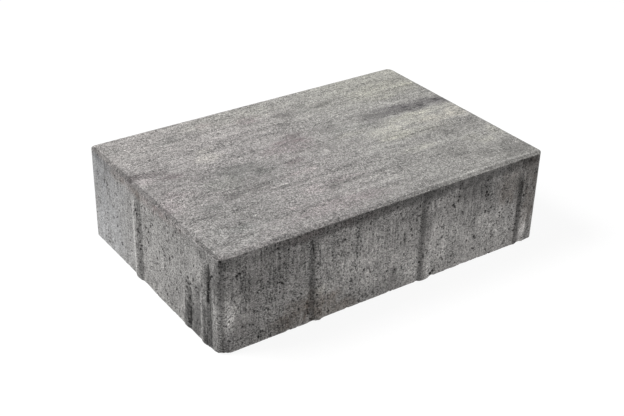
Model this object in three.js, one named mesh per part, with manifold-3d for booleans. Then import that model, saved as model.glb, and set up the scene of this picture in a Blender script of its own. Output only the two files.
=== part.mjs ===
// A pressed concrete paving stone, 300 x 200 x 80 mm.
//
// One cast block: a rounded rectangle in plan, a small bevel round the walking face, and a row of
// tapered spacer nibs on each side, which keep the joint open when stones are laid against each other.
//
// Millimetres, +Z up. The origin is the centre of the bed face, on which the stone lies.

import * as THREE from 'three';
import { mergeVertices } from 'three/addons/utils/BufferGeometryUtils.js';
import Module from 'manifold-3d';

// The block
const LENGTH = 300;
const WIDTH = 200;
const HEIGHT = 80;
const CORNER_RADIUS = 6;
const BEVEL_WIDTH = 3;
const BEVEL_DEPTH = 1.5;

// The spacer nibs. Each stands furthest out at the bed, thins a little up to its shoulder, and from
// there runs out into the side, below the bevel.
const NIB_FOOT_PROJECTION = 1.8;
const NIB_SHOULDER_PROJECTION = 1.5;
const NIB_BASE_WIDTH = 15;
const NIB_FLANK_SPREAD = 10.5;
const NIB_CROWN_WIDTH = 1.5;
const NIB_TIP_WIDTH_SHARE = 0.5;
const NIB_TOP_CLEARANCE = 9.5;
const NIB_RUN_OUT = 12;
const NIB_SPACING = 101;
const LONG_SIDE_END_DISTANCE = 17;
const SHORT_SIDE_END_DISTANCE = 19.5;

// One short side also has a low nib beside its last full one.
const LOW_NIB_HEIGHT = 38;
const LOW_NIB_RUN_OUT = 20;
const LOW_NIB_END_DISTANCE = 45;

// How far a nib's root and the feet of its flanks lie inside the block, so that the two join as one
const ROOT_DEPTH = 1.5;
const FLANK_SINK = 0.1;

// Roundness of the corners and smoothness of the nibs
const CORNER_SEGMENTS = 8;
const FLANK_STEPS = 5;
const RUN_OUT_STEPS = 7;

const QUARTER_TURN = Math.PI / 2;

// The sides in order round the block, counter-clockwise from above. A nib is modelled on the first one,
// which faces -Y, and turned to its own side.
const LONG_SIDE = { run: LENGTH, reach: WIDTH / 2, endDistance: LONG_SIDE_END_DISTANCE };
const SHORT_SIDE = { run: WIDTH, reach: LENGTH / 2, endDistance: SHORT_SIDE_END_DISTANCE };
const SIDES = [LONG_SIDE, SHORT_SIDE, LONG_SIDE, { ...SHORT_SIDE, hasLowNib: true }];

const wasm = await Module();
wasm.setup();

function toSolid(geometry) {
  geometry.deleteAttribute('normal');
  geometry.deleteAttribute('uv');
  const merged = mergeVertices(geometry);
  const mesh = new wasm.Mesh({
    numProp: 3,
    vertProperties: new Float32Array(merged.attributes.position.array),
    triVerts: new Uint32Array(merged.index.array),
  });
  return new wasm.Manifold(mesh);
}

function toGeometry(solid) {
  const mesh = solid.getMesh();
  const geometry = new THREE.BufferGeometry();
  geometry.setAttribute('position', new THREE.BufferAttribute(mesh.vertProperties, 3));
  geometry.setIndex(new THREE.BufferAttribute(mesh.triVerts, 1));
  geometry.computeVertexNormals();
  return geometry;
}

function roundedRectangle(length, width, radius) {
  const x = length / 2 - radius;
  const y = width / 2 - radius;
  const outline = new THREE.Shape();
  outline.absarc(x, -y, radius, -QUARTER_TURN, 0);
  outline.absarc(x, y, radius, 0, QUARTER_TURN);
  outline.absarc(-x, y, radius, QUARTER_TURN, 2 * QUARTER_TURN);
  outline.absarc(-x, -y, radius, 2 * QUARTER_TURN, 3 * QUARTER_TURN);
  outline.closePath();
  return outline;
}

// The extrusion is bevelled at both ends, so it starts below the bed and is cut off flat there.
function block() {
  const spare = 2 * BEVEL_DEPTH;
  const slab = new THREE.ExtrudeGeometry(roundedRectangle(LENGTH, WIDTH, CORNER_RADIUS), {
    depth: HEIGHT - BEVEL_DEPTH + spare,
    bevelThickness: BEVEL_DEPTH,
    bevelSize: BEVEL_WIDTH,
    bevelOffset: -BEVEL_WIDTH,
    bevelSegments: 1,
    curveSegments: CORNER_SEGMENTS,
  });
  slab.translate(0, 0, -spare);
  const belowBed = new THREE.BoxGeometry(2 * LENGTH, 2 * WIDTH, HEIGHT);
  belowBed.translate(0, 0, -HEIGHT / 2);
  return toSolid(slab).subtract(toSolid(belowBed));
}

// A closed body through rings of equally many points, each ring counter-clockwise from above
function loft(rings) {
  const count = rings[0].length;
  const positions = rings.flat().flatMap((point) => point.toArray());
  const faces = [];
  for (let ring = 0; ring < rings.length - 1; ring += 1) {
    for (let i = 0; i < count; i += 1) {
      const a = ring * count + i;
      const b = ring * count + ((i + 1) % count);
      faces.push(a, b, b + count);
      faces.push(a, b + count, a + count);
    }
  }
  const outline = rings[0].map((point) => new THREE.Vector2(point.x, point.y));
  const last = (rings.length - 1) * count;
  for (const [a, b, c] of THREE.ShapeUtils.triangulateShape(outline, [])) {
    faces.push(a, c, b);
    faces.push(last + a, last + b, last + c);
  }
  const geometry = new THREE.BufferGeometry();
  geometry.setAttribute('position', new THREE.Float32BufferAttribute(positions, 3));
  geometry.setIndex(faces);
  return geometry;
}

// Plan section of a nib on the side that faces -Y: a narrow crown between two flanks, each an S that
// leaves the side smoothly, is steepest half way up and rounds over into the crown
function nibSection(centre, reach, z, projection, widthShare) {
  const foot = -widthShare * NIB_BASE_WIDTH / 2;
  const bend = -widthShare * NIB_FLANK_SPREAD / 2;
  const crown = -widthShare * NIB_CROWN_WIDTH / 2;
  const flank = new THREE.CubicBezierCurve(
    new THREE.Vector2(foot, -FLANK_SINK),
    new THREE.Vector2(bend, -FLANK_SINK),
    new THREE.Vector2(bend, projection),
    new THREE.Vector2(crown, projection),
  ).getPoints(FLANK_STEPS);
  const root = [new THREE.Vector2(-foot, -ROOT_DEPTH), new THREE.Vector2(foot, -ROOT_DEPTH)];
  const mirrored = flank.map((point) => new THREE.Vector2(-point.x, point.y)).reverse();
  return [...flank, ...mirrored, ...root].map(
    (point) => new THREE.Vector3(centre + point.x, -reach - point.y, z),
  );
}

// A nib keeps its width up to its shoulder, above which it narrows and curves back into the side.
function nib(centre, reach, height, runOut) {
  const shoulder = height - runOut;
  const rings = [nibSection(centre, reach, 0, NIB_FOOT_PROJECTION, 1)];
  for (let step = 0; step <= RUN_OUT_STEPS; step += 1) {
    const t = step / RUN_OUT_STEPS;
    const projection = THREE.MathUtils.lerp(-FLANK_SINK, NIB_SHOULDER_PROJECTION, Math.cos(t * QUARTER_TURN));
    const widthShare = THREE.MathUtils.lerp(1, NIB_TIP_WIDTH_SHARE, t);
    rings.push(nibSection(centre, reach, shoulder + runOut * t, projection, widthShare));
  }
  return loft(rings);
}

// Nibs stand at even steps back from the far end of their side, as long as they clear its near corner.
function nibCentres(run, endDistance) {
  const centres = [];
  const nearest = -run / 2 + CORNER_RADIUS + NIB_BASE_WIDTH / 2;
  for (let at = run / 2 - endDistance; at > nearest; at -= NIB_SPACING) {
    centres.push(at);
  }
  return centres;
}

function sideNibs({ run, reach, endDistance, hasLowNib }) {
  const height = HEIGHT - NIB_TOP_CLEARANCE;
  const nibs = nibCentres(run, endDistance).map((centre) => nib(centre, reach, height, NIB_RUN_OUT));
  if (hasLowNib) {
    nibs.push(nib(run / 2 - LOW_NIB_END_DISTANCE, reach, LOW_NIB_HEIGHT, LOW_NIB_RUN_OUT));
  }
  return nibs;
}

function pavingStone() {
  let stone = block();
  SIDES.forEach((side, index) => {
    for (const geometry of sideNibs(side)) {
      stone = stone.add(toSolid(geometry.rotateZ(index * QUARTER_TURN)));
    }
  });
  const concrete = new THREE.MeshStandardMaterial({ color: 0x8c8987, roughness: 0.95, metalness: 0 });
  const mesh = new THREE.Mesh(toGeometry(stone), concrete);
  mesh.name = 'paving_stone';
  return mesh;
}

const part = new THREE.Group();
part.add(pavingStone());

export default part;
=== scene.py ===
"""Finish of a pressed concrete paving stone, 300 x 200 x 80 mm.

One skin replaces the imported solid. It follows the solid's own surface, apart from a low flare at the
foot of one side, and what a real stone adds to that is cut into it: undulation, drag marks, pores, pits,
cracks, chips and worn arrises. The front is the side that faces -Y, and the left side faces -X. Lengths
are in millimetres, in the stone's own frame, up to the point where the mesh is made.
"""

import math
from itertools import product

import bpy
import numpy as np
from mathutils import Matrix, Vector
from mathutils.bvhtree import BVHTree
from mathutils.kdtree import KDTree


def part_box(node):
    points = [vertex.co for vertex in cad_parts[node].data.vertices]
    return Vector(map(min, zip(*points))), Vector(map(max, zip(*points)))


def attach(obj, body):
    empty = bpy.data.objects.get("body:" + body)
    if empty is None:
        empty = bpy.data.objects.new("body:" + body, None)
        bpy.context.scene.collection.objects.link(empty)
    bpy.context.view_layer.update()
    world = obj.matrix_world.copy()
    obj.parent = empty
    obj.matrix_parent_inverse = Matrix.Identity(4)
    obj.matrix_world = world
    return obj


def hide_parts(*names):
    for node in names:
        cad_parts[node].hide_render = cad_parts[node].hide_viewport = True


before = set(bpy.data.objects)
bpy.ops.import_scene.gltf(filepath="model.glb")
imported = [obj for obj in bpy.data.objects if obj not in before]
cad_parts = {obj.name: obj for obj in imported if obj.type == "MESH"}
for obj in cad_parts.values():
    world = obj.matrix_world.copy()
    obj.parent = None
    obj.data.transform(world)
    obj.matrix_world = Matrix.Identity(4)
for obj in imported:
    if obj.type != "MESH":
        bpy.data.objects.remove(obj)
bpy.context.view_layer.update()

MM = 0.001
TINY = 1e-9

# The solid's form: the block, which the nibs stand out of, and the bevel round its walking face
NIB_PROJECTION = 1.8
CORNER_RADIUS = 6.0
BEVEL_WIDTH = 3.0
BEVEL_DEPTH = 1.5
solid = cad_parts["paving_stone"]
solid_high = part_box("paving_stone")[1] / MM
HALF_LENGTH = solid_high.x - NIB_PROJECTION
HALF_WIDTH = solid_high.y - NIB_PROJECTION
HEIGHT = solid_high.z
WALL_TOP = HEIGHT - BEVEL_DEPTH
# Where the straight part of each side ends and its round corners begin
STRAIGHT = np.array((HALF_LENGTH, HALF_WIDTH)) - CORNER_RADIUS

# The skin's mesh, before and after it is thinned out where it is smooth
CELL = 0.5
CORNER_CELLS = 6
WALL_ROWS = round(WALL_TOP / CELL)
SKIN_TRIANGLES = 194_000
SHARP_ANGLE = math.radians(38)

# The foot of the left side stands a little out between its nibs: how far, how high, and where along the
# side it begins and ends
FOOT_FLARE = 0.95
FOOT_HEIGHT = 13.0
FOOT_START = (-84, -70)
FOOT_END = (-16, 10)

# What wear has taken off: the bed's arris all round, and the corner of the front and left sides at the
# bed, which is worn from several directions, each as the way out of the stone and how deep
ARRIS_WEAR = 0.2
CORNER_WEAR = (
    ((-1, -1, -1), 1.9), ((-1, -0.35, -1), 0.5), ((-0.35, -1, -1), 0.5), ((-1, -1, -0.3), 0.35),
)

# What the random draws start from, for the relief and for the stains of the hidden sides
RELIEF_SEED = 7
STAIN_SEED = 17


# ---- random fields

def noise(points, size, seed):
    """A smooth random field, about -1 to 1, whose features have the given size along each axis"""
    period = 64
    gain = 1.6
    generator = np.random.default_rng(seed)
    slopes = generator.normal(size=(period, period, period, 3)).astype(np.float32)
    slopes /= np.linalg.norm(slopes, axis=3, keepdims=True)
    cells = (points / np.asarray(size, np.float32)).astype(np.float32)
    low = np.floor(cells).astype(int)
    part = cells - low
    fade = part ** 3 * (part * (part * 6 - 15) + 10)
    total = np.zeros(len(points), np.float32)
    for corner in product((0, 1), repeat=3):
        weight = np.prod(np.where(corner, fade, 1 - fade), axis=1)
        i, j, k = ((low + corner) % period).T
        total += weight * np.einsum("ij,ij->i", slopes[i, j, k], part - corner)
    return gain * total


def fractal(points, size, seed, octaves=3):
    """Noise with finer and fainter octaves over it"""
    gain = 0.55
    size = np.asarray(size, float)
    total = 0
    reach = 0
    for octave in range(octaves):
        strength = gain ** octave
        total = total + strength * noise(points, size / 2 ** octave, seed + octave)
        reach += strength ** 2
    return total / math.sqrt(reach)


def step(value, low, high):
    """Goes smoothly from 0 at low to 1 at high"""
    t = np.clip((value - low) / (high - low), 0, 1)
    return t * t * (3 - 2 * t)


# ---- the mesh over the solid

def plan_grid(radius):
    """A grid over the plan with corners of the radius, and each point's nearest one within STRAIGHT"""
    axes = []
    for half in STRAIGHT:
        straight = np.linspace(-half, half, round(2 * half / CELL) + 1)
        corner = np.linspace(0, radius, CORNER_CELLS + 1)[1:]
        axes.append(np.concatenate([-half - corner[::-1], straight, half + corner]))
    square = np.stack(np.meshgrid(*axes, indexing="ij"), axis=-1)
    core = np.clip(square, -STRAIGHT, STRAIGHT)
    over = square - core
    length = np.linalg.norm(over, axis=-1, keepdims=True)
    reach = np.abs(over).max(axis=-1, keepdims=True)
    return core + over * reach / np.maximum(length, TINY), core


def grid_loop(index):
    """The grid's outer vertices, counter-clockwise from above"""
    return np.concatenate([index[:-1, 0], index[-1, :-1], index[:0:-1, -1], index[0, :0:-1]])


def quads(*corners):
    return np.stack([corner.ravel() for corner in corners], axis=1)


def grid_faces(index):
    return quads(index[:-1, :-1], index[1:, :-1], index[1:, 1:], index[:-1, 1:])


def side_rows():
    """Inset and height of each row of vertices between the bed and the walking face"""
    rows = [(0.0, height) for height in np.linspace(0, WALL_TOP, WALL_ROWS + 1)[1:]]
    bevel_cells = round(math.hypot(BEVEL_WIDTH, BEVEL_DEPTH) / CELL)
    for share in np.linspace(0, 1, bevel_cells + 1)[1:-1]:
        rows.append((share * BEVEL_WIDTH, WALL_TOP + share * BEVEL_DEPTH))
    return rows


def stone_grid():
    """A closed mesh of even cells over the block: its points and faces, the rings up its sides, and the
    way out of the stone at each vertex of a ring"""
    bottom, bottom_core = plan_grid(CORNER_RADIUS)
    top, _ = plan_grid(CORNER_RADIUS - BEVEL_WIDTH)
    index = np.arange(bottom.shape[0] * bottom.shape[1]).reshape(bottom.shape[:2])
    loop = grid_loop(index)
    core = bottom_core.reshape(-1, 2)[loop]
    outward = (bottom.reshape(-1, 2)[loop] - core) / CORNER_RADIUS
    rows = side_rows()
    side = [np.column_stack([core + outward * (CORNER_RADIUS - inset), np.full(len(loop), height)])
            for inset, height in rows]
    bottom_points = np.column_stack([bottom.reshape(-1, 2), np.zeros(index.size)])
    top_points = np.column_stack([top.reshape(-1, 2), np.full(index.size, HEIGHT)])
    points = np.vstack([bottom_points, *side, top_points])
    first_side = index.size
    first_top = first_side + len(rows) * len(loop)
    side_index = first_side + np.arange(len(rows) * len(loop)).reshape(len(rows), len(loop))
    rings = np.vstack([loop, side_index, loop + first_top])
    side_faces = quads(rings[:-1], np.roll(rings[:-1], -1, 1), np.roll(rings[1:], -1, 1), rings[1:])
    faces = np.vstack([grid_faces(index)[:, ::-1], side_faces, grid_faces(index + first_top)])
    return points, faces, rings, outward


def foot_flare(points):
    """How far out the foot of the left side stands"""
    x, y, z = np.moveaxis(points, -1, 0)
    along = step(y, *FOOT_START) * (1 - step(y, *FOOT_END)) * (x < CORNER_RADIUS - HALF_LENGTH)
    return FOOT_FLARE * along * (1 - step(z, 0, FOOT_HEIGHT))


def follow_nibs(points, rings, outward):
    """Moves the wall's vertices out, onto the solid's surface at the nibs and to the flare of the foot,
    and says how far they went."""
    search = 2 * NIB_PROJECTION
    margin = 0.02
    smoothing_rounds = 4
    tree = BVHTree.FromPolygons([v.co / MM for v in solid.data.vertices],
                                [tuple(p.vertices) for p in solid.data.polygons])
    walls = rings[: WALL_ROWS + 1]
    proud = np.zeros(walls.shape)
    for row, ring in enumerate(walls):
        for column, vertex in enumerate(ring):
            x, y, z = points[vertex]
            nx, ny = outward[column]
            height = min(max(z, margin), WALL_TOP - margin)
            start = (x + search * nx, y + search * ny, height)
            place, _, _, distance = tree.ray_cast(start, (-nx, -ny, 0.0), 2 * search)
            if place is not None:
                proud[row, column] = search - distance
    proud = np.maximum(proud, 0)
    for _ in range(smoothing_rounds):
        proud = (np.roll(proud, 1, 1) + 2 * proud + np.roll(proud, -1, 1)) / 4
    proud = np.maximum(proud, foot_flare(points[walls]))
    points[walls, :2] += outward * proud[..., None]
    moved = np.zeros(len(points))
    moved[walls] = proud
    return moved


def vertex_normals(points, faces):
    a, b, c, d = (points[column] for column in faces.T)
    across = np.cross(c - a, d - b)
    normals = np.zeros_like(points)
    for column in faces.T:
        for axis in range(3):
            normals[:, axis] += np.bincount(column, across[:, axis], len(points))
    return normals / np.linalg.norm(normals, axis=1, keepdims=True)


# ---- relief

# The relief's layers: mean depth, size of the features along x, y and z, seed, and octaves of noise
SWELL = (0.07, 28, 10, 3)
DRAG_MARKS = (0.05, (2.2, 2.2, 22), 20, 3)
GRIT = (0.06, 2.0, 30, 2)
FACE_STREAKS = (0.05, (14, 5, 5), 40, 3)
NIB_ROUGHNESS = (0.16, (3.0, 3.0, 4.5), 45, 3)
# How far the whole is raised, and how far under the solid's surface it stays at least
RELIEF_RISE = 0.10
LEAST_RECESS = 0.04


def wall_share(points):
    """1 on the sides and 0 on the walking face and its bevel"""
    return 1 - step(points[:, 2], WALL_TOP - 0.4, WALL_TOP + 0.2)


def layer(points, depth, size, seed, octaves):
    """One layer of relief, from none to about twice its mean depth"""
    return depth * (1 + fractal(points, size, seed, octaves))


def relief(points, nib):
    """How deep the surface lies under the solid's, all over"""
    wall = wall_share(points)
    swell = layer(points, *SWELL)
    drag = layer(points, *DRAG_MARKS)
    grit = layer(points, *GRIT)
    streaks = layer(points, *FACE_STREAKS)
    rough = layer(points, *NIB_ROUGHNESS)
    depth = swell + wall * drag + grit + (1 - wall) * streaks + nib * rough - RELIEF_RISE
    return np.maximum(depth, LEAST_RECESS)


# Pits big enough to be told apart, as place and radius. On the front the place is x and z.
FRONT_PITS = (
    (-45, 61, 1.1), (-47.5, 60, 0.6), (-99, 42.8, 1.1), (-101, 44.5, 0.7), (17, 50, 0.9), (11, 43, 0.7),
    (57.5, 58, 1.2), (59, 56, 0.9), (91.5, 59.5, 1.2), (93.5, 56.5, 1.1), (90.5, 57, 0.7),
    (115.5, 43.5, 1.1), (75, 20.7, 0.9), (82.5, 22, 1.1), (84, 20, 0.7), (101.5, 15.5, 0.9), (103, 17, 0.6),
    (134.5, 74.5, 0.7), (136.5, 75.2, 0.7), (144, 30, 0.9), (63, 73.5, 0.7), (5.5, 67, 0.9), (24, 68, 0.7),
    (-129.5, 33, 0.7), (-117, 29.5, 0.7), (-138, 42, 0.7), (-136, 62, 1.1), (-134, 63.5, 0.9),
    (-103, 73, 0.9), (-149, 76.5, 0.9), (3, 19, 0.9), (39.5, 2.5, 1.2), (41.5, 4.5, 1.0), (-27, 6, 0.7),
    (98, 43.5, 0.9), (-75, 69, 0.9),
)
# On the left side it is y and z
LEFT_PITS = (
    (22.5, 57, 1.0), (18, 57.5, 1.1), (17.5, 42.5, 1.2), (22, 36, 0.8), (-20.5, 45, 1.0), (-17, 47, 0.9),
    (-34, 47, 1.0), (-30, 41, 0.9), (-4, 62, 0.8), (12, 66, 0.9), (-54, 37.5, 1.2), (-59.5, 34, 1.1),
    (-53.5, 29, 1.0), (-60, 38, 0.9), (62, 33, 1.0), (56, 28, 0.9), (44, 14, 0.9), (-39, 22, 0.9),
    (-26, 17, 1.0), (-7, 26, 0.9), (34, 26, 0.8), (70, 58, 0.8), (-64, 44, 1.0), (2.7, 49.6, 1.1),
    (6, 51.3, 1.1), (5.4, 42, 1.1), (3.6, 40, 1.1), (8, 31, 0.9), (-28, 76.3, 1.1), (-47.3, 75.7, 1.1),
    (-27, 69.5, 1.0), (86, 61, 1.1), (50, 14.4, 1.2), (-19.3, 46, 1.1), (-21.3, 10.7, 1.1), (-24, 9, 1.0),
    (-30, 43.7, 0.9), (-56, 42, 1.2), (-57.5, 37, 1.1), (-55.5, 33, 1.2), (-68, 40, 1.1), (-70.5, 37, 1.1),
    (73.3, 4, 1.2), (-78.5, 48, 1.1), (-88.7, 59.3, 1.2), (-90.5, 61.5, 1.1), (20, 60, 1.2), (18.5, 44, 1.1),
    (21.5, 30, 1.2),
)
# Open lines along a side: the points that they pass through, half width and depth
FRONT_CRACKS = (
    (((-98, 4), (-99, 10), (-101.5, 17), (-101, 24)), 0.5, 0.4),
    (((-74, 70), (-73.3, 64), (-73.5, 59)), 0.6, 0.5),
    (((10.5, 49), (10, 43), (12.5, 38)), 0.5, 0.4),
)
LEFT_CRACKS = (
    (((-85.9, 68), (-87, 62), (-86.4, 57)), 1.2, 0.8),
    (((-87, 57), (-86, 52), (-86.8, 48)), 0.9, 1.1),
    (((-86.2, 46), (-85.8, 41), (-86.3, 37)), 0.8, 0.9),
    (((-84, 9), (-83.5, 5), (-84.5, 0)), 1.0, 0.6),
    (((-60.5, 20), (-60.8, 14), (-60, 2)), 0.8, 0.5),
)
# How far pits and cracks depart from a smooth outline, and how much of a pit's painted shade a crack has
RAGGEDNESS = 0.5
CRACK_SHADE = 0.6


def random_pits(points, normals, nib, generator):
    """Pores strewn over the stone, as centre, normal, radius and depth. They gather in groups, are
    thickest on the nibs, and are few and small on the walking face."""
    count = 3000
    face_crowd, bed_crowd, nib_crowd, gathering = 0.2, 0.5, 2.5, 2.0
    middle, spread, least, most = 0.54, 0.28, 0.36, 0.85
    face_size, depth_share = 0.8, 0.9
    wall = wall_share(points)
    groups = np.exp(gathering * fractal(points, size=14, seed=50))
    crowd = np.where(wall > 0.5, 1.0, face_crowd) * groups * (1 + nib_crowd * nib)
    crowd[points[:, 2] < 0.01] *= bed_crowd
    chosen = generator.choice(len(points), count, replace=False, p=crowd / crowd.sum())
    radii = np.clip(generator.lognormal(math.log(middle), spread, count), least, most)
    radii[wall[chosen] < 0.5] *= face_size
    return [(points[i], normals[i], radius, radius * depth_share) for i, radius in zip(chosen, radii)]


def placed_pits():
    """The pits of the two lists, as centre, normal, radius and depth"""
    front = [((x, -HALF_WIDTH, z), (0, -1, 0), radius, radius) for x, z, radius in FRONT_PITS]
    left = [((-HALF_LENGTH, y, z), (-1, 0, 0), radius, radius) for y, z, radius in LEFT_PITS]
    return front + left


def dig_pits(points, pits, ragged):
    """Depth of the pits under the surface, and how far inside a pit each point lies"""
    reach = 1.5
    squeeze = (1, 1, 0.8)
    rim = (1.15, 0.6)
    tree = KDTree(len(points))
    for i, point in enumerate(points):
        tree.insert(point, i)
    tree.balance()
    depth, inside = np.zeros((2, len(points)))
    for place, normal, radius, deep in pits:
        centre = points[tree.find(place)[1]]
        found = [i for _, i, _ in tree.find_range(centre, radius * reach)]
        offset = points[found] - centre
        across = (offset - np.outer(offset @ normal, normal)) * squeeze
        share = np.linalg.norm(across, axis=1) / radius * (1 + RAGGEDNESS * ragged[found])
        bowl = np.sqrt(np.clip(1 - share ** 2, 0, 1))
        depth[found] = np.maximum(depth[found], deep * bowl)
        inside[found] = np.maximum(inside[found], step(share, *rim))
    return depth, inside


def open_cracks(across, along, ragged, cracks):
    """Depth of the cracks of a list on a face, and how far inside one each point lies"""
    rim = (0.5, 1.1)
    depth, inside = np.zeros((2, len(across)))
    for route, half_width, deep in cracks:
        for (across_a, along_a), (across_b, along_b) in zip(route, route[1:]):
            run = np.array((across_b - across_a, along_b - along_a), float)
            share = ((across - across_a) * run[0] + (along - along_a) * run[1]) / (run @ run)
            share = np.clip(share, 0, 1)
            distance = np.hypot(across - across_a - share * run[0], along - along_a - share * run[1])
            distance = distance / half_width * (1 + RAGGEDNESS * ragged)
            depth = np.maximum(depth, deep * np.clip(1 - distance ** 2, 0, 1))
            inside = np.maximum(inside, 1 - step(distance, *rim))
    return depth, inside


def crack_relief(points, ragged):
    """The cracks of both sides together"""
    depth, inside = np.zeros((2, len(points)))
    x, y, z = points.T
    for on_side, across, cracks in (
        (-y > HALF_WIDTH - 1, x, FRONT_CRACKS),
        (-x > HALF_LENGTH - 1, y, LEFT_CRACKS),
    ):
        depth[on_side], inside[on_side] = open_cracks(across[on_side], z[on_side], ragged[on_side], cracks)
    return depth, inside


def wear_arris(points, proud, uneven):
    """The points with the bed's arris worn back all round"""
    plan = points[:, :2]
    out = np.column_stack([plan - np.clip(plan, -STRAIGHT, STRAIGHT), np.zeros(len(points))])
    reach = np.linalg.norm(out, axis=1)
    slope = out / np.maximum(reach, TINY)[:, None] - (0, 0, 1)
    over = reach - CORNER_RADIUS - proud - points[:, 2] + ARRIS_WEAR * uneven
    return points - slope * np.maximum(over, 0)[:, None] / 2


def wear_corner(points, uneven):
    """The points with the corner of the front and left sides worn back at the bed"""
    inset = (1 - math.sqrt(0.5)) * CORNER_RADIUS * np.array((1, 1, 0))
    corner = np.array((-HALF_LENGTH, -HALF_WIDTH, 0)) + inset
    for direction, deep in CORNER_WEAR:
        normal = np.array(direction) / np.linalg.norm(direction)
        over = (points - corner) @ normal + deep * uneven
        points = points - np.outer(np.maximum(over, 0), normal)
    return points


def worn(points, proud, chips, ragged):
    """The points with the bed's arris and one corner worn back and the chips broken out"""
    reach = 1.5
    chip_raggedness = 0.12
    uneven = 1 + 0.5 * noise(points, size=7, seed=80) + 0.35 * ragged
    points = wear_corner(wear_arris(points, proud, uneven), uneven)
    for centre, radius in chips:
        offset = points - centre
        near = np.abs(offset).max(axis=1) < reach * radius
        distance = np.linalg.norm(offset[near], axis=1)
        share = np.maximum(1, radius * (1 + chip_raggedness * ragged[near]) / distance)
        points[near] = centre + offset[near] * share[:, None]
    return points


# Chips strewn along an arris: its row of vertices, how far the way out of the stone tilts up there, how
# many chips there are, and the largest radius
STREWN_CHIPS = ((0, -1.0, 70, 3.2), (WALL_ROWS, 0.8, 40, 1.5), (-1, 2.0, 24, 1.1))
# Chips placed one by one: the point on the arris, the way out of the stone, radius and depth
PLACED_CHIPS = (
    ((40.5, -100, 0), (0.2, -1, -1), 3.0, 0.8), ((132, -101, 0), (0, -1, -0.9), 7.0, 1.6),
    ((-72, -101, 0), (-0.3, -1, -0.9), 6.0, 1.3), ((-150, 73, 0), (-1, 0, -1), 3.5, 0.6),
    ((57, -100, 0), (0, -1, -1), 13.0, 0.6), ((72, -100, 0), (0, -1, -1), 13.0, 0.6),
    ((86, -100, 0), (0, -1, -1), 10.0, 0.6), ((144, -100, 0), (0, -1, -1), 9.0, 0.6),
)


def bite(place, away, radius, deep):
    """Centre and radius of a round bite that reaches a depth into the stone at a place"""
    away = np.array(away) / np.linalg.norm(away)
    return np.array(place) + away * (radius - deep), radius


def arris_chips(points, rings, outward, generator):
    """Chips along the arrises of the bed and the walking face, as centre and radius of a round bite"""
    smallest = 0.8
    depth_shares = (0.12, 0.3)
    chips = []
    for row, tilt, count, largest in STREWN_CHIPS:
        for column in generator.choice(len(outward), count, replace=False):
            radius = generator.uniform(smallest, largest)
            deep = radius * generator.uniform(*depth_shares)
            chips.append(bite(points[rings[row, column]], (*outward[column], tilt), radius, deep))
    return chips + [bite(*chip) for chip in PLACED_CHIPS]


# ---- stains and streaks, and painted shade and light

GREY = (1.0, 1.0, 1.0)
BEIGE = (1.0, 1.0, 0.97)
SAND = (1.012, 1.0, 0.965)
ROSE = (1.02, 0.985, 1.0)
TEAL = (0.985, 1.0, 0.995)
SEA = (0.982, 1.0, 0.995)
MOSS = (0.985, 1.0, 0.98)
OLIVE = (0.985, 1.0, 0.975)
BROWN = (1.025, 0.985, 0.95)
RUST = (1.03, 0.985, 0.985)
INK = (1.005, 1.0, 1.015)

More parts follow.
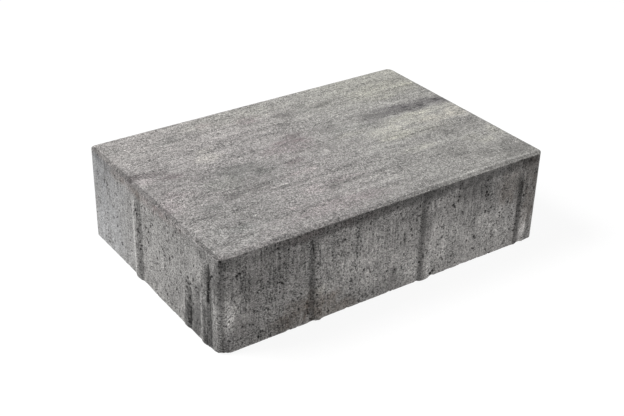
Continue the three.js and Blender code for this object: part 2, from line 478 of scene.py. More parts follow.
# Soft patches: the middle's two places on the face, the half sizes in the same order, how much lighter in
# percent, and the tint, which is grey if none is given. On the walking face the places are x and y.
FACE_PATCHES = (
    (88, 31, 22, 4.5, -28, INK), (76, 22, 15, 6, -38, INK), (98, 24, 13, 6.5, -32, INK),
    (113, 19, 15, 6.5, -36, INK), (131, 24, 14, 7, -34, INK), (147, 21, 8, 9, -38, INK),
    (140, 17, 10, 5, -20, INK), (112, 23, 40, 9, -12, INK), (64, 26, 20, 10, -16),
    (-18, 13, 22, 11, -14, ROSE), (-130, 10, 18, 10, -14), (20, 38, 18, 9, 12), (-20, -84, 22, 10, -8),
    (-128, 60, 18, 12, -8), (128, 42, 20, 5, 12), (90, 42, 20, 5, 10), (48, 66, 14, 4, -34),
    (33, 73, 6, 4, -20, TEAL), (12, 65, 10, 6, -26), (1, 50, 7, 5, -24), (-5, 29, 16, 3.5, -30, ROSE),
    (-11, 22, 14, 6, -22, ROSE), (20, 26, 12, 4, -16), (35, 16, 12, 4, -20, TEAL), (54, 13, 9, 4, -16, TEAL),
    (-142, 32, 11, 5, -34, ROSE), (-128, 29, 9, 4, -28, ROSE), (-121, 19, 10, 5, -28, ROSE),
    (-92, 75, 9, 6, -22, TEAL), (-72, 73, 7, 6, -18), (-21, 73, 11, 7, -14, ROSE),
    (-138, 79, 8, 6, -16, TEAL), (-135, -5, 9, 5, -20, ROSE), (-74, 3, 18, 8, -28, TEAL),
    (-58, -9, 9, 6, -28, TEAL), (-29, -9, 12, 4, -30, ROSE), (5, 0, 6, 8, -22), (-99, -30, 8, 7, -32),
    (-75, -28, 14, 7, -24), (-118, -36, 10, 5, -20, TEAL), (-57, -39, 15, 2.4, -28, TEAL),
    (3, -37, 9, 3, -28), (27, -38, 8, 3, -20), (-20, -55, 12, 5, -28), (-26, -62, 7, 4, -24),
    (10, -57, 20, 3.4, -26), (108, -34, 9, 5, -34), (106, -24, 16, 5, -20), (132, -30, 16, 7, -20),
    (85, -56, 15, 9, -18), (90, -66, 9, 4, -20), (107, -77, 7, 8, -18), (140, -68, 6, 5, -24),
    (134, -86, 16, 8, -26), (46, -50, 8, 4, -20), (-102, -74, 30, 3, -14, TEAL), (-128, -46, 12, 3, -16),
    (-105, -52, 40, 22, -10, TEAL), (-72, -8, 36, 20, -12, TEAL), (130, -82, 22, 14, -10),
    (20, 70, 20, 12, -8), (-82, 31, 12, 7, 24, BEIGE), (-139, 52, 8, 8, 14), (-141, 22, 8, 4, 20, ROSE),
    (-142, -20, 9, 11, 18, ROSE), (-58, 60, 26, 9, 4), (-33, 91, 10, 4, 14), (22, 13, 24, 2, 18),
    (38, 6, 14, 4, 16, BEIGE), (64, -8, 18, 12, 13, BEIGE), (94, 3, 28, 11, 16, BEIGE),
    (118, -7, 18, 7, 22, SAND), (141, -3, 13, 12, 22, SAND), (116, 9, 36, 4, 12, BEIGE),
    (86, -18, 36, 7, 12, BEIGE), (72, -18, 14, 4, 20, BEIGE), (-35, -27, 16, 3.4, 20, ROSE),
    (25, -21, 18, 4, 12), (38, -29, 14, 2, 14), (69, -43, 18, 4, 16, BEIGE), (-56, -35.5, 11, 1.8, 30),
    (-17, -9, 4, 5, 20), (0, -9, 6, 4, 20), (6, -72, 20, 1.8, 26), (20, -70, 9, 3, 16),
    (-70, -68, 4, 3, 24, ROSE), (-41, -54, 9, 6, 14, ROSE), (124, -59, 10, 5, 16, BEIGE),
    (143, -50, 7, 10, 20, BEIGE), (114, 62, 38, 14, 12, BEIGE), (-123, -94, 4, 3, 20),
    (-35, -82, 40, 8, 6, ROSE), (-147, 45, 5, 16, -12), (-144, -20, 8, 32, -8), (20, -12, 20, 11, -10),
    (20, -46, 20, 16, 10), (-123, 40, 8, 4, -14), (-131, 64, 8, 4, -12, TEAL), (-147, 68, 4, 7, -14),
    (-103, 70, 8, 4, -14, TEAL), (-77, 60, 8, 4, -14), (-56, 83, 8, 5, -12, ROSE), (-47, 73, 8, 4, -12),
    (0, 17, 7, 4, -14, ROSE), (-4, 2, 7, 3.5, -14), (-75, -7, 8, 4, -12, TEAL), (38, -7, 9, 4, -12),
    (67, 17, 8, 4, -14, INK), (108, 0, 10, 3.5, -12), (137, 18, 8, 4, -14, INK), (36, 70, 8, 4, -14),
    (29, 62, 8, 4, -12, TEAL), (40, 56, 8, 3.5, -12), (-57, -30, 9, 4, -14, TEAL), (-145, -26, 5, 6, -14),
    (93, -73, 9, 4, -14), (113, 25, 9, 4, -12, INK), (-126, 50, 9, 3.5, 14), (-77, 43, 9, 4, 14, BEIGE),
    (-28, 45, 9, 4, 13), (105, 48, 11, 4, 14, BEIGE), (136, 29, 8, 3, 14), (87, 22, 8, 3, 14),
    (-125, -11, 9, 4, 14, ROSE), (-17, -35.5, 30, 2, 16), (-12, -51.5, 24, 2, 16, ROSE), (18, -62, 9, 3, 14),
    (40, -58, 8, 3.5, 14), (-103, -49, 10, 3.5, 13), (138, 60, 8, 4, 14, BEIGE), (116, -50, 9, 4, 14, BEIGE),
    (0, -48, 15, 26, 9), (-3, -84, 16, 11, -7), (-80, 36, 14, 13, 9), (-106, 12, 13, 12, -9),
    (26, 12, 13, 11, -7), (52, 13, 12, 11, 6), (-132, -12, 12, 11, 8), (-64, -12, 26, 12, -7),
    (79, -36, 13, 12, -7), (-149, 44, 4, 14, -14), (-30, 86, 52, 13, 0, OLIVE), (52, 60, 13, 12, -6),
    (-128, -80, 30, 17, 0, SEA), (128, 10, 16, 9, 11), (55, 36, 16, 10, 8), (92, 34, 16, 8, 10),
    (-56, 36, 16, 11, 9), (-128, -60, 16, 11, 10), (-19, -60, 16, 11, 10), (20, -60, 14, 10, 6),
    (-128, -8, 14, 8, 7), (-92, -12, 15, 11, 0, MOSS), (-144.5, -58, 4.5, 15, 15), (-125, -93, 24, 3, -3),
    # (92, -95) is a painted highlight: a thin light line just inside the front bevel's inner edge
    (92, -95, 36, 1.6, 8), (3, -6, 3, 2.5, 20), (-6, -4, 2.5, 4, -16), (9, -3, 2, 5, -14),
)
# On the front they are x and z. The narrow patches beside the nibs near x -70, 30 and 130 are partly
# painted shade and highlight of the nibs' flanks and partly stain.
FRONT_PATCHES = (
    (-128, 76, 26, 5, 40), (-80, 75, 22, 4, -12, RUST), (-30, 75, 34, 4, -34, RUST), (30, 75, 32, 4, -30),
    (90, 75, 34, 4, -16), (135, 76, 15, 5, -46, BROWN), (82, 58, 20, 18, -12), (113, 56, 14, 20, -12),
    (139, 16, 9, 22, -16), (14, 18, 13, 9, 24), (46, 18, 18, 9, 12), (-112, 38, 42, 54, -24),
    (-132, 10, 22, 14, -20), (84, 66, 22, 12, -18), (-103, 50, 6, 10, -26), (-127, 52, 7, 10, -20),
    (-87, 18, 11, 8, -24, BROWN), (-94, 8, 18, 7, -34, BROWN), (-71, 20, 9, 12, -30, BROWN),
    (-57, 16, 11, 5, -30, BROWN), (-40, 9, 14, 5, -26), (-54, 5, 26, 6, -28, BROWN), (-8, 8, 15, 6, -18),
    (2, 11, 4, 9, -28), (3, 18, 5, 4, -26), (20, 62, 13, 8, -18), (71, 66, 13, 5, -20), (91, 60, 6, 8, -20),
    (85, 66, 9, 6, -22), (99, 43, 5, 4, -18), (116, 58, 12, 16, -26, BROWN), (84, 21, 4, 4, -20),
    (101, 16, 6, 4, -20), (139, 50, 13, 32, -46, BROWN), (-23, 64, 8, 6, -14), (10.5, 43, 2.4, 8, -24),
    (82, 32, 1.8, 12, -20), (28, 40, 6, 34, -14), (26, 62, 6, 9, -12), (-73, 28, 4, 16, -20),
    (-143, 34, 5, 12, 70), (-134, 39, 4, 8, 30), (-143, 22, 4, 10, 35), (-93, 34, 4, 8, 18),
    (-63, 44, 8, 8, 22), (-39, 35, 14, 9, 22), (-65, 25, 9, 4, 26, BEIGE), (-30, 58, 17, 7, 14),
    (-19, 19, 7, 6, 30), (-14, 44, 6, 11, 16), (4, 29, 6, 5, 16), (16, 27, 6, 9, 20), (16, 11, 8, 5, 26),
    (33.5, 61.5, 5, 2.4, 42), (35, 9, 4, 6, 30), (49, 64, 9, 5, 20), (47, 45, 9, 11, 22), (63, 35, 7, 9, 26),
    (52, 20, 6, 10, 28), (75, 46, 6, 9, 20), (91, 38, 9, 5, 28), (95, 23, 9, 8, 32), (107, 38, 7, 5, 22),
    (110, 19, 6, 5, 26), (117.5, 68, 6, 5, 26), (136, 20, 3, 15, 22), (-108, 14, 10, 6, 10),
    (144, 8, 5, 14, -24), (-144, 10, 4, 9, -18, INK), (143, 46, 7, 30, -8), (128, 48, 2.6, 16, -22),
    (-148.5, 8, 2.5, 12, -20), (31, 68.5, 6, 3.5, -16), (60, 20, 5, 6, 14), (84, 45, 5, 6, -15),
    (47, 62, 20, 8, -12), (14, 33, 13, 8, -12), (137, 62, 11, 8, -8), (46, 47, 17, 7, -6),
    (113, 33, 12, 8, -6), (130.8, 39, 1.6, 8, -26), (128, 50, 2, 8, -12), (123.5, 54, 4, 14, -22),
    (123.5, 14, 3, 13, -22), (134, 31, 3.5, 6, -26), (133, 51, 2.6, 7, -26), (139.8, 10, 1.8, 8, -20),
    (28, 60, 6, 6, 18), (33, 70, 4, 5, -26), (33.5, 41, 4, 8, -14), (-69.5, 44, 2.4, 12, 16),
    (-69, 59, 3, 7, 16), (-79, 70, 4, 5, -18), (-66, 70, 3, 5, -18), (-2, 77.8, 72, 2.2, -40),
    (133, 77.8, 14, 2.2, -40), (-146, 4, 6, 5, -34, INK), (126, 11, 1.6, 7, 16), (126, 40, 1.8, 6, 22),
    (130.6, 38, 1.6, 6, -20), (22.5, 60, 3.4, 6, 14), (28, 50, 1.6, 6, -16), (32, 50, 2.4, 6, -14),
    (32, 71, 4, 4, -16), (-79, 57, 3, 6, 10), (-69.5, 41, 2, 5, 14),
)
# On the left side they are y and z. The patches beside the nibs near y -84 and 20, and round the low nib
# between y -76 and -50, are partly painted shade and highlight of the nibs' flanks and partly stain.
LEFT_PATCHES = (
    (76, 12, 30, 20, 12), (-69, 10, 7, 12, -20), (15, 75, 36, 5, -10, RUST), (-30, 76, 24, 4, -6, RUST),
    (-86, 50, 12, 30, -16), (26.5, 45, 1.8, 34, 20), (-74.5, 18, 3, 16, 14), (-91, 32, 3, 12, 20),
    (22, 76, 8, 5, -22, BROWN), (52, 74, 15, 5, -16, BROWN), (-57, 12, 6, 14, -26), (72, 67, 5, 7, -22),
    (76, 76, 20, 6, -14), (-84, 54, 3, 18, -30), (-56, 38, 5, 8, -24), (-69, 16, 6, 20, -30),
    (-68, 40, 8, 9, -22), (-97, 58, 5, 24, -30), (-22, 10, 4, 4, -16), (-80, 68, 8, 5, -10),
    (-92, 8, 8, 10, -25), (-75, 14, 26, 34, -22), (-38, 30, 20, 26, -10), (-30, 8, 22, 8, -16),
    (-8, 27, 9, 13, -15), (8, 46, 8, 18, -17), (-48, 57, 15, 9, -12), (-86, 20, 3, 20, 26),
    (18, 74, 6, 5, -12, BROWN), (2, 6, 12, 7, -12), (-58, 14, 6, 12, -16), (-58, 48, 8, 8, -12),
    (-58.5, 11, 3.2, 14, -38), (-53.5, 8, 3.2, 12, -22), (-54.5, 27, 3.6, 10, -28), (-87, 40, 6, 15, -12),
    (38, 12, 12, 14, 8), (62, 8, 13, 8, 8), (62, 47, 12, 9, 5), (-21, 32, 11, 9, 11), (84, 52, 16, 16, -9),
    (56, 12, 9, 10, -9), (-63, 4, 2.8, 5, -45), (-54, 4, 2.2, 4, -25), (-61.6, 14.5, 2.2, 5, -30),
    (-60.4, 20, 2.6, 5, -38), (-50.8, 19, 2, 9, 45), (-66, 28, 3.4, 6, 36), (-61, 29, 1.8, 4, -30),
    (-83, 4.5, 3, 5, -36), (-93, 58, 5, 7, -20), (-99, 3, 3, 5, -20, INK), (-82, 58, 3, 7, -22),
    (-88, 66, 2, 4, 30), (-83, 66, 2.4, 4, 26), (-92, 66, 3, 4, -20), (-78, 73.5, 4.5, 5, -30),
    (-66, 75, 10, 4, -6), (10, 13, 3.4, 6, 18), (16, 13, 2.8, 6, -24), (22, 47, 5, 13, 8),
    (84, 62, 11, 8, -7), (45, 73, 19, 4, 18), (8, 72.5, 20, 4, 13), (78, 76, 20, 2.6, -10),
    (78, 70.5, 20, 2.6, 12), (-30, 66.5, 18, 3, -8), (2, 9, 10, 6, -5),
)


def random_patches(generator, half, count):
    """Patches strewn over a side that reaches as far as half either way. Some of the dark ones are brown."""
    smallest, largest = (3, 3), (14, 16)
    darkest, lightest = -32, 28
    one_brown_in = 4
    middles = generator.uniform((-half, 0), (half, HEIGHT), (count, 2))
    halves = generator.uniform(smallest, largest, (count, 2))
    lighter = generator.uniform(darkest, lightest, count)
    hues = generator.choice(one_brown_in, count)
    return [(*middle, *half_size, share, BROWN if hue == 0 and share < 0 else GREY)
            for middle, half_size, share, hue in zip(middles, halves, lighter, hues)]


def patches(across, along, ragged, patch_list):
    """Colour of the soft, ragged ellipses of a list"""
    raggedness = 0.45
    full, none = 0.55, 1.3
    colour = np.ones((len(across), 3))
    for middle_across, middle_along, half_across, half_along, lighter, *tints in patch_list:
        hue = np.array(tints[0] if tints else GREY)
        distance = np.hypot((across - middle_across) / half_across, (along - middle_along) / half_along)
        inside = 1 - step(distance + raggedness * ragged, full, none)
        colour *= 1 + inside[:, None] * ((1 + lighter / 100) * hue - 1)
    return colour


def tint(points):
    """Colour of the stains, and of painted shade and light, as a factor on the concrete's own colour"""
    colour = np.ones(points.shape)
    x, y, z = points.T
    on_face = wall_share(points) <= 0.5
    on_wall = ~on_face & (z > 0)
    on_long = on_wall & (HALF_LENGTH - np.abs(x) > HALF_WIDTH - np.abs(y))
    on_short = on_wall & ~on_long
    on_front = on_long & (y < 0)
    on_left = on_short & (x < 0)
    generator = np.random.default_rng(STAIN_SEED)
    face_rags, side_rags = (16, 4, 4), (4, 4, 8)
    for chosen, across, along, rags, patch_list in (
        (on_face, x, y, face_rags, FACE_PATCHES),
        (on_front, x, z, side_rags, FRONT_PATCHES),
        (on_left, y, z, side_rags, LEFT_PATCHES),
        (on_long & (y > 0), x, z, side_rags, random_patches(generator, HALF_LENGTH, count=48)),
        (on_short & (x > 0), y, z, side_rags, random_patches(generator, HALF_WIDTH, count=32)),
    ):
        ragged = fractal(points[chosen], rags, seed=70)
        stray = 1.5 * noise(points[chosen], size=9, seed=90)
        colour[chosen] = patches(across[chosen] + stray, along[chosen] + stray, ragged, patch_list)
    # What changes over a whole face: the walking face gets lighter to the right; it is also lighter to the
    # back and darker at the front edge, which is painted light. The left side is darker to the top, which is
    # painted shade as on the long sides, and bluer to the back.
    for share, hue in (
        (on_face * step(x, -60, 120), (1.04, 1.04, 1.02)),
        (on_face * step(x, 60, -40), (0.965, 0.943, 0.95)),
        (on_face * step(y, 30, 80), (1.10, 1.10, 1.09)),
        (on_face * step(y, 30, 80) * step(x, 0, 100), (0.985, 0.99, 0.965)),
        (on_face * step(y, -50, -84), (0.94, 0.94, 0.94)),
        (on_front, (1.01, 1.0, 1.0)),
        (on_left * step(z, 40, 72), (0.88, 0.88, 0.88)),
        (on_left * step(y, 10, 70), (0.985, 1.005, 1.04)),
    ):
        colour *= 1 + share[:, None] * (np.array(hue) - 1)
    return colour


# ---- the piece

def add_object(name, data):
    added = bpy.data.objects.new(name, data)
    bpy.context.scene.collection.objects.link(added)
    return added


def make_mesh(name, points, faces):
    mesh = bpy.data.meshes.new(name)
    mesh.vertices.add(len(points))
    mesh.vertices.foreach_set("co", np.asarray(points, np.float32).ravel())
    mesh.loops.add(faces.size)
    mesh.loops.foreach_set("vertex_index", faces.astype(np.int32).ravel())
    mesh.polygons.add(len(faces))
    mesh.polygons.foreach_set("loop_start", np.arange(0, faces.size, faces.shape[1], dtype=np.int32))
    mesh.update(calc_edges=True)
    mesh.validate()
    return mesh


def stone_skin():
    """The stone's skin, with how far inside a pit or crack each vertex lies and the colour of its stains
    and of painted shade and light
    """
    points, faces, rings, outward = stone_grid()
    proud = follow_nibs(points, rings, outward)
    nib = proud / NIB_PROJECTION
    normals = vertex_normals(points, faces)
    generator = np.random.default_rng(RELIEF_SEED)
    ragged = noise(points, size=0.9, seed=60)
    pits = random_pits(points, normals, nib, generator) + placed_pits()
    pit_depth, pores = dig_pits(points, pits, ragged)
    crack_depth, cracks = crack_relief(points, ragged)
    colours = np.ones((len(points), 4), np.float32)
    colours[:, :3] = tint(points)
    chips = arris_chips(points, rings, outward, generator)
    points = worn(points, proud, chips, ragged)
    points = points - normals * (relief(points, nib) + np.maximum(pit_depth, crack_depth))[:, None]
    mesh = make_mesh("concrete_skin", points * MM, faces)
    # Painted shade, with dirt, in the hollows: how far inside a pit or crack each vertex lies
    hollow_shade = np.maximum(pores, CRACK_SHADE * cracks).astype(np.float32)
    mesh.attributes.new("pores", "FLOAT", "POINT").data.foreach_set("value", hollow_shade)
    mesh.attributes.new("tint", "FLOAT_COLOR", "POINT").data.foreach_set("color", colours.ravel())
    skin = add_object("concrete_skin", mesh)
    thin_out(skin)
    return skin


def thin_out(skin):
    """Thins the mesh out to its number of triangles, most where it is smooth."""
    modifier = skin.modifiers.new("thin", "DECIMATE")
    modifier.ratio = SKIN_TRIANGLES / (2 * len(skin.data.polygons))
    thinned = bpy.data.meshes.new_from_object(skin.evaluated_get(bpy.context.evaluated_depsgraph_get()))
    skin.modifiers.clear()
    dense = skin.data
    skin.data = thinned
    bpy.data.meshes.remove(dense)
    skin.data.shade_smooth()
    skin.data.set_sharp_from_angle(angle=SHARP_ANGLE)


skin = stone_skin()
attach(skin, "root")
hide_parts("paving_stone")


# ---- shader nodes

def add_node(tree, kind, *sources, **values):
    """A new shader node, its first inputs led from sockets and others set to values by name"""
    node = tree.nodes.new("ShaderNode" + kind)
    for source, socket in zip(sources, node.inputs):
        tree.links.new(source, socket)
    for name, value in values.items():
        node.inputs[name].default_value = value
    return node


class Field:
    """A number at every point of the surface, worked out by shader nodes"""

    def __init__(self, tree, socket):
        self.tree = tree
        self.socket = socket

    def maths(self, operation, *others):
        node = add_node(self.tree, "Math", self.socket)
        node.operation = operation
        for socket, other in zip(node.inputs[1:], others):
            if isinstance(other, Field):
                self.tree.links.new(other.socket, socket)
            else:
                socket.default_value = other
        return Field(self.tree, node.outputs[0])

    def __add__(self, other):
        return self.maths("ADD", other)

    def __sub__(self, other):
        return self.maths("SUBTRACT", other)

    def __mul__(self, other):
        return self.maths("MULTIPLY", other)

    def __rsub__(self, other):
        return self * -1 + other

    def __abs__(self):
        return self.maths("ABSOLUTE")

    __radd__ = __add__
    __rmul__ = __mul__

    def larger(self, other):
        return self.maths("MAXIMUM", other)

    def step(self, low, high):
        """Goes smoothly from 0 at low to 1 at high"""
        node = add_node(self.tree, "MapRange", self.socket, **{"From Min": low, "From Max": high})
        node.interpolation_type = "SMOOTHSTEP"
        return Field(self.tree, node.outputs["Result"])


class Nodes:
    """The nodes of a material, with positions on the stone in millimetres"""

    def __init__(self, material):
        self.tree = material.node_tree
        self.shader = self.tree.nodes["Principled BSDF"]
        place = add_node(self.tree, "TexCoord").outputs["Object"]
        self.position = self.vector_maths("MULTIPLY", place, (1 / MM,) * 3)
        parts = add_node(self.tree, "SeparateXYZ", self.position)
        self.x, self.y, self.z = (Field(self.tree, socket) for socket in parts.outputs)

    def vector_maths(self, operation, vector, other):
        node = add_node(self.tree, "VectorMath", vector)
        node.operation = operation
        node.inputs[1].default_value = other
        return node.outputs[0]

    def lattice(self, size, seed):
        """Positions counted in features of the size, moved on by the seed"""
        sizes = size if isinstance(size, tuple) else (size,) * 3
        cells = self.vector_maths("MULTIPLY", self.position, tuple(1 / s for s in sizes))
        return self.vector_maths("ADD", cells, (seed * 7.3, seed * 3.1, seed * 5.7))

    def noise(self, size, seed, detail, roughness=0.6):
        """Smooth noise about -1 to 1"""
        node = add_node(self.tree, "TexNoise", self.lattice(size, seed),
                        Scale=1.0, Detail=detail, Roughness=roughness)
        return (Field(self.tree, node.outputs["Fac"]) - 0.5) * 3.0

    def grains(self, size, seed):
        """Grains of about the size: each one's own random number, 0 to 1, and the distance from its middle"""
        node = add_node(self.tree, "TexVoronoi", self.lattice(size, seed), Scale=1.0)
        return self.channels(node.outputs["Color"])[0], Field(self.tree, node.outputs["Distance"])

    def attribute(self, name, output):
        """An output of the vertex values of a name"""
        node = add_node(self.tree, "Attribute")
        node.attribute_name = name
        return node.outputs[output]

    def channels(self, colour):
        """Red, green and blue of a colour"""
        split = add_node(self.tree, "SeparateColor", colour)
        return [Field(self.tree, socket) for socket in split.outputs]

    def feed(self, name, socket):
        """Leads a socket to the shader's input of a name."""
        self.tree.links.new(socket, self.shader.inputs[name])


# ---- concrete

# Stripes up the sides, on and beside the nibs. The dark ones are painted shade on the flanks turned away
# from the light, partly stain, and one runs up the front's corner with the left side; the light ones are
# painted highlights on the flanks that catch the light. Each gives where it starts and ends, at x on the
# front and at y on the left side, how high it reaches, and how much lighter it is in percent. The opposite
# sides have them half a turn round.
LONG_SHADING_STRIPES = (
    (-75.5, -71.4, 71, -34), (25.4, 30.2, 72, -22), (26.6, 28.8, 72, -14), (126.2, 129.9, 63, -50),
    (131.2, 134, 62, 16), (131.6, 138, 36, 28), (-149.5, -147.5, 76, -10),
)
SHORT_SHADING_STRIPES = (
    (12.8, 22.6, 76, -21), (14.0, 19.2, 76, -18), (23.9, 27.6, 68, 34), (-88.5, -84, 36, -26),
    (-84, -79.6, 35, -42), (-79.6, -78, 35, -18), (-88.5, -84, 69, -30), (-90.5, -87.5, 72, -24),
    (-83, -77, 62, -12), (-77.5, -73.5, 42, 16),
)
# These are on the left side alone: painted shade beside the low nib, partly stain
LOW_NIB_SHADING_STRIPES = ((-62, -51.5, 18, -20), (-73, -63, 42, -12))

# The concrete's own hue, a warm grey, and how light it is before grain and stains
HUE = (1.02, 0.995, 0.965)
FACE_TONE = 0.31
WALL_TONE = 0.36
# The means of a random number from 0 to 1 and of its square, taken off so that grain keeps the tone
MEAN = 0.5
MEAN_SQUARE = 0.33


class Concrete(Nodes):
    """What the concrete is made up from: the stone's faces, its grain, its streaks, its stains, and painted
    shade and light
    """

    def __init__(self, material):
        super().__init__(material)
        self.face = self.z.step(WALL_TOP - 0.5, WALL_TOP - 0.2)
        self.wall = 1.0 - self.face
        self.to_end = HALF_LENGTH - abs(self.x)
        self.to_side = HALF_WIDTH - abs(self.y)
        self.long_side = self.wall * (self.to_end - self.to_side).step(-1.2, 0.4)
        self.short_side = self.wall - self.long_side
        self.leftward = self.x * -1.0
        self.left = self.leftward.step(0.0, 1.0)
        self.left_edge = self.leftward.step(HALF_LENGTH - 5, HALF_LENGTH - 3)
        # The places along the sides, counted so that a half turn of the stone leaves them the same
        self.along_long = self.x - self.x * (2.0 * self.y.step(-1, 1))
        self.along_short = self.y * (2.0 * self.left) - self.y

        self.sand, self.sand_distance = self.grains(1.0, seed=1)
        self.fines, _ = self.grains(0.7, seed=2)
        self.cloud = self.noise(3.6, seed=3, detail=1)
        self.streak = self.noise((64, 12, 12), seed=4, detail=5, roughness=0.85)
        self.strokes = self.noise((8, 2.2, 2.2), seed=13, detail=1)
        self.mottle = self.noise((16, 16, 26), seed=9, detail=4, roughness=0.8)
        self.drag = self.noise((1.4, 1.4, 28), seed=5, detail=1)
        self.ragged = self.noise((7, 7, 12), seed=11, detail=4, roughness=0.75)
        self.bright_specks, self.dark_specks = self.specks()

    def specks(self):
        """Where light and dark specks are. The dark ones gather in groups."""
        speck, distance = self.grains(1.9, seed=8)
        crowd = self.noise(9, seed=12, detail=2)
        bright = speck.step(0.86, 0.9) * (1.0 - distance.step(0.14, 0.30))
        dark = (1.0 - (speck - crowd * 0.18).step(0.15, 0.23)) * (1.0 - distance.step(0.18, 0.33))
        return bright, dark

    def stripes(self, across, stripe_list):
        """How much lighter a side is for its stripes of painted shade and highlight, whose edges and tops
        wander
        """
        across = across + self.ragged * 0.6
        up = self.z + self.ragged * 8.0
        total = 0.0
        for start, end, top, lighter in stripe_list:
            inside = (across - start).step(-0.5, 0.5) * (1.0 - (across - end).step(-0.5, 0.5))
            total = total + inside * (1.0 - up.step(top - 6.0, top + 3.0)) * (lighter / 100)
        return total * (1.0 + self.ragged * 0.4)

    def bevel_shade(self):
        """What the bevel's darkness and, at the right of the front, a painted highlight just inside it make
        of the tone
        """
        edge = (BEVEL_WIDTH - self.to_end).larger(BEVEL_WIDTH - self.to_side)
        by_corner = self.left_edge * (1.0 - self.y.step(-75, -65))
        front_right = (self.y * -1.0).step(90, 92) * self.x.step(-20, 30)
        left_shade = 0.17 + 0.07 * self.y.step(-45, -10)
        shade = 0.16 + self.left_edge * left_shade + 0.14 * by_corner
        shade = shade + 0.10 * front_right * (1.0 - edge.step(1.2, 2.2))
        start = edge + self.ragged * 0.2 - 0.5 * self.left_edge * (1.0 - self.y.step(-50, -30))
        # A painted highlight: a thin light line on the walking face just inside the bevel, at the right of
        # the front
        inner_edge_highlight = front_right * (1.0 - abs(edge + 1.6).step(0.3, 0.9))
        return (1.0 - start.step(0.0, 0.35) * shade) * (1.0 + inner_edge_highlight * 0.12)

    def face_tone(self):
        """How light the walking face is: sand, fines and brushed streaks, and the bevel round it"""
        blotch = self.noise((9, 6, 6), seed=14, detail=4, roughness=0.8)
        sand = (self.sand * self.sand - MEAN_SQUARE) * 0.6
        fines = self.fines * self.fines - MEAN_SQUARE
        streaks = self.streak * 0.64 + self.strokes * 0.09
        grain = sand + fines + self.cloud * 0.10 + streaks + blotch * 0.16
        contrast = 0.96 + 0.13 * self.leftward.step(-30, 60)
        return FACE_TONE * (1.0 + contrast * grain) * self.bevel_shade()

    def wall_tone(self):
        """How light the sides are: grain, drag lines and mottling, painted light low on the long sides, the
        rim under the bevel, and stripes
        """
        short_near = self.short_side * (1.0 - self.along_short.step(8, 20))
        long_near = self.long_side * (1.0 - self.along_long.step(-100, -70))
        grain = (self.sand - MEAN) * 0.7 + (self.fines - MEAN) * 1.25 + self.cloud * 0.10
        coarse = 0.75 + self.long_side * (0.27 - 0.24 * self.along_long.step(-90, 60)) + 0.19 * short_near
        marked = 0.20 + 0.22 * self.long_side * self.z.step(25, 55) + 0.07 * short_near + 0.12 * long_near
        mottle = self.mottle * (0.4 + 0.1 * self.long_side)
        rim = (self.z + self.ragged * 5.0).step(69.2, 70.8)
        tone = WALL_TONE * (1.0 + grain * coarse + self.drag * marked + mottle)
        # Painted light: the long sides are lighter near the bed and darker towards the top, as if lit from
        # the floor
        tone = tone * (1.0 + self.long_side * (0.10 - 0.34 * self.z.step(8, 68)))
        tone = tone * (1.0 - rim * (0.14 + 0.30 * self.long_side))
        for side, across, stripe_list in (
            (self.long_side, self.along_long, LONG_SHADING_STRIPES),
            (self.short_side, self.along_short, SHORT_SHADING_STRIPES),
            (self.short_side * self.left, self.y, LOW_NIB_SHADING_STRIPES),
        ):
            tone = tone * (1.0 + side * self.stripes(across, stripe_list))
        return tone

    def tone(self):
        """How light the whole stone is, with a painted highlight under the left bevel and painted shade in
        its hollows, before its stains
        """
        # A painted highlight: a thin light line just under the left side's bevel, near the front
        arris = self.left_edge * (1.0 - self.y.step(-45, -20))
        arris = arris * (1.0 - abs(self.z + 2.4 - HEIGHT).step(0.3, 0.8))
        pores = Field(self.tree, self.attribute("pores", "Fac"))
        tone = (self.face_tone() * self.face + self.wall_tone() * self.wall) * (1.0 + arris * 0.32)
        tone = tone * (1.0 + self.bright_specks * (0.4 + 0.6 * self.face))
        tone = tone * (1.0 - self.dark_specks * (0.25 + 0.70 * self.wall))
        # Painted shade, with dirt, darkens the pits and cracks beyond what the mesh's own shading gives
        return tone * (1.0 - pores * 0.83)

    def stained_and_shaded(self):
        """The stone's colour: its tone, multiplied channel by channel by the tint of stains and of painted
        shade and light. They are uneven in strength along the streaks of the walking face and the mottling of
        the sides."""
        streaks = (self.streak + self.strokes) * self.face * 0.5
        strength = (1.0 + streaks + self.mottle * self.wall).larger(0.0)
        tone = self.tone()
        # The tint holds the stains together with painted shade and light
        stains = self.channels(self.attribute("tint", "Color"))
        channels = [tone * hue * ((stain - 1.0) * strength + 1.0) for hue, stain in zip(HUE, stains)]
        return add_node(self.tree, "CombineColor", *(channel.socket for channel in channels)).outputs[0]

    def bumps(self):
        """How high the grain stands"""
        grain = self.sand * 0.4 + self.fines * 0.3 + self.cloud * 0.2 + self.drag * self.wall * 0.2
        return grain - self.sand_distance * 0.5 - self.dark_specks * 1.2


def concrete():
    material = bpy.data.materials.new("concrete")
    material.use_nodes = True
    nodes = Concrete(material)
    bump = add_node(nodes.tree, "Bump", Strength=0.9, Distance=0.2 * MM)
    nodes.tree.links.new(nodes.bumps().socket, bump.inputs["Height"])
    nodes.feed("Normal", bump.outputs[0])
    nodes.feed("Base Color", nodes.stained_and_shaded())
    nodes.feed("Roughness", (0.86 + 0.1 * nodes.sand).socket)
    nodes.shader.inputs["Specular IOR Level"].default_value = 0.35
    return material


skin.data.materials.clear()
skin.data.materials.append(concrete())


# ---- stage

WHITE = (1, 1, 1, 1)

# The camera looks at a point beside the stone's middle. Its azimuth is counted from the front.
LENS = 65.65
SENSOR_WIDTH = 36.0
CAMERA_AZIMUTH = math.radians(-35.404)
CAMERA_ELEVATION = math.radians(29.851)
CAMERA_ROLL = math.radians(1.468)
CAMERA_DISTANCE = 919.4
AIM_RIGHT = -3.53
AIM_UP = -12.90

# The lamps: azimuth and elevation in degrees, distance and size in metres, and level
LAMPS = {"key": (-120, 50, 2.0, 0.9, 1.10), "fill": (48, 20, 1.6, 0.6, 0.50)}

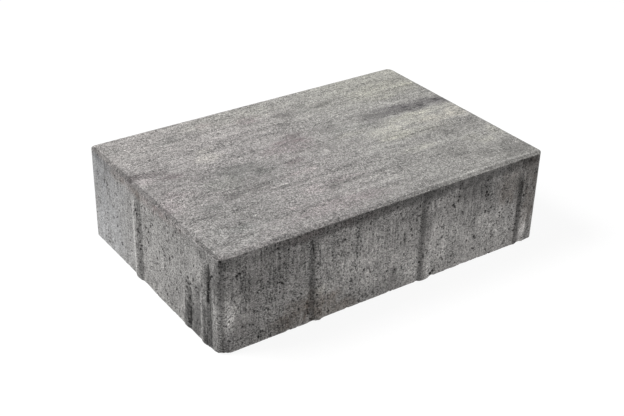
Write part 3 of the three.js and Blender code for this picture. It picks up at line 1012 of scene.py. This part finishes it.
# The levels of the world, and of the floor's colour and glow, as light and as what is seen
WORLD_LEVELS = (0.12, 1.0)
FLOOR_LEVELS = {"Base Color": (0.45, 0.14), "Emission Strength": (0.0, 0.89)}
# Half the floor's width in metres
FLOOR_HALF = 4.0


def direction(azimuth, elevation):
    """The way from the stone to what stands at an azimuth, counted from the front, and an elevation"""
    return Vector((math.sin(azimuth) * math.cos(elevation),
                   -math.cos(azimuth) * math.cos(elevation),
                   math.sin(elevation)))


def lamp(name, azimuth, elevation, distance, size, level):
    """A square lamp aimed at the stone's bed, which gives the level to a face turned straight to it"""
    light = bpy.data.lights.new(name, "AREA")
    light.size = size
    light.energy = level * (math.pi * distance) ** 2
    away = direction(math.radians(azimuth), math.radians(elevation))
    lamp_object = add_object(name, light)
    lamp_object.location = away * distance
    lamp_object.rotation_euler = away.to_track_quat("Z", "Y").to_euler()


def by_ray(tree, socket, unseen, seen):
    """Gives the socket one value as light, and another where the camera, a mirror or glass shows it."""
    rays = add_node(tree, "LightPath").outputs
    is_seen = Field(tree, rays["Is Camera Ray"])
    for ray in ("Is Glossy Ray", "Is Transmission Ray"):
        is_seen = is_seen.larger(Field(tree, rays[ray]))
    tree.links.new((unseen + is_seen * (seen - unseen)).socket, socket)


def white_world():
    world = bpy.data.worlds.new("white_studio")
    bpy.context.scene.world = world
    world.use_nodes = True
    background = world.node_tree.nodes["Background"]
    background.inputs["Color"].default_value = WHITE
    by_ray(world.node_tree, background.inputs["Strength"], *WORLD_LEVELS)


def white_floor():
    corners = [(x * FLOOR_HALF, y * FLOOR_HALF, 0) for x, y in ((-1, -1), (1, -1), (1, 1), (-1, 1))]
    mesh = bpy.data.meshes.new("floor")
    mesh.from_pydata(corners, [], [(0, 1, 2, 3)])
    floor = add_object("floor", mesh)
    material = bpy.data.materials.new("floor_white")
    material.use_nodes = True
    shader = material.node_tree.nodes["Principled BSDF"]
    shader.inputs["Roughness"].default_value = 1.0
    shader.inputs["Specular IOR Level"].default_value = 0.0
    shader.inputs["Emission Color"].default_value = WHITE
    for name, levels in FLOOR_LEVELS.items():
        by_ray(material.node_tree, shader.inputs[name], *levels)
    mesh.materials.append(material)


def camera():
    back = direction(CAMERA_AZIMUTH, CAMERA_ELEVATION)
    level_right = Vector((math.cos(CAMERA_AZIMUTH), math.sin(CAMERA_AZIMUTH), 0))
    level_up = back.cross(level_right)
    right = math.cos(CAMERA_ROLL) * level_right + math.sin(CAMERA_ROLL) * level_up
    up = math.cos(CAMERA_ROLL) * level_up - math.sin(CAMERA_ROLL) * level_right
    aim = Vector((0, 0, HEIGHT / 2)) + AIM_RIGHT * right + AIM_UP * up
    data = bpy.data.cameras.new("camera")
    data.lens = LENS
    data.sensor_width = SENSOR_WIDTH
    data.clip_start = 0.01
    camera_object = add_object("camera", data)
    turn = Matrix((right, up, back)).transposed().to_4x4()
    camera_object.matrix_world = Matrix.Translation((aim + CAMERA_DISTANCE * back) * MM) @ turn
    bpy.context.scene.camera = camera_object


camera()
white_world()
white_floor()
for name, values in LAMPS.items():
    lamp(name, *values)
bpy.context.scene.view_settings.view_transform = "Standard"
